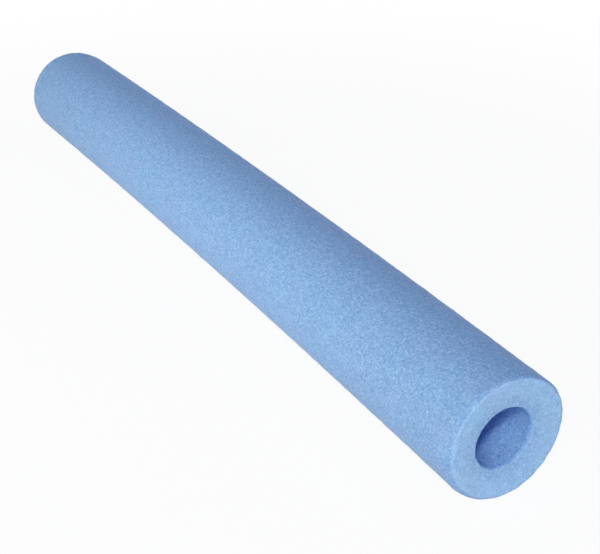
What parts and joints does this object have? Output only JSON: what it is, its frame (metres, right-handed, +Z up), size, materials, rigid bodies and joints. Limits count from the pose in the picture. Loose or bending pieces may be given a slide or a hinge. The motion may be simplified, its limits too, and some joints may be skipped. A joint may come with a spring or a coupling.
{
  "type": "pool noodle",
  "caption": "Short pool noodle: a thick hollow tube of closed-cell foam with an open bore, rounded cut ends and a slight sideways bow, lying on its side.",
  "frame": {"origin": "on the surface the tube lies on, under the middle of the tube's box", "axes": "+X along the tube towards the cut end nearest the camera in the picture, +Y across the tube to the side it bows towards, +Z up"},
  "size_m": [0.6, 0.0794, 0.0739],
  "materials": {
    "blue_foam": "pale sky blue extruded polyethylene foam, fine closed cells, soft matte skin"
  },
  "bodies": {
    "root": {"foam_tube": "blue_foam"}
  },
  "joints": []
}
